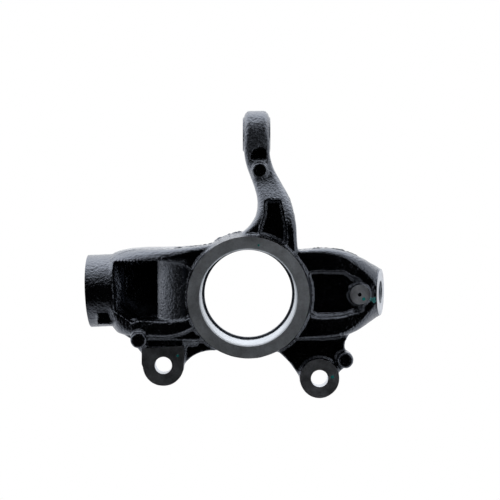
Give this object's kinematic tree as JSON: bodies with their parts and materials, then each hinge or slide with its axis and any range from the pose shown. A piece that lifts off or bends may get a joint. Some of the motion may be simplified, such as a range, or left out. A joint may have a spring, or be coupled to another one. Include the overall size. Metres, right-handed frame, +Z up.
{
  "type": "steering knuckle",
  "caption": "Cast-iron steering knuckle with bearing seat, strut clamp, steering arm, ball-joint boss and caliper ears.",
  "frame": {"origin": "wheel centre, half way along the hub bore", "axes": "+Z up to the strut clamp, -Y outboard along the hub bore, +X to the side of the steering arm"},
  "size_m": [0.2523, 0.1072, 0.2636],
  "materials": {
    "casting": "satin"
  },
  "bodies": {
    "root": {"knuckle": "casting"}
  },
  "joints": []
}
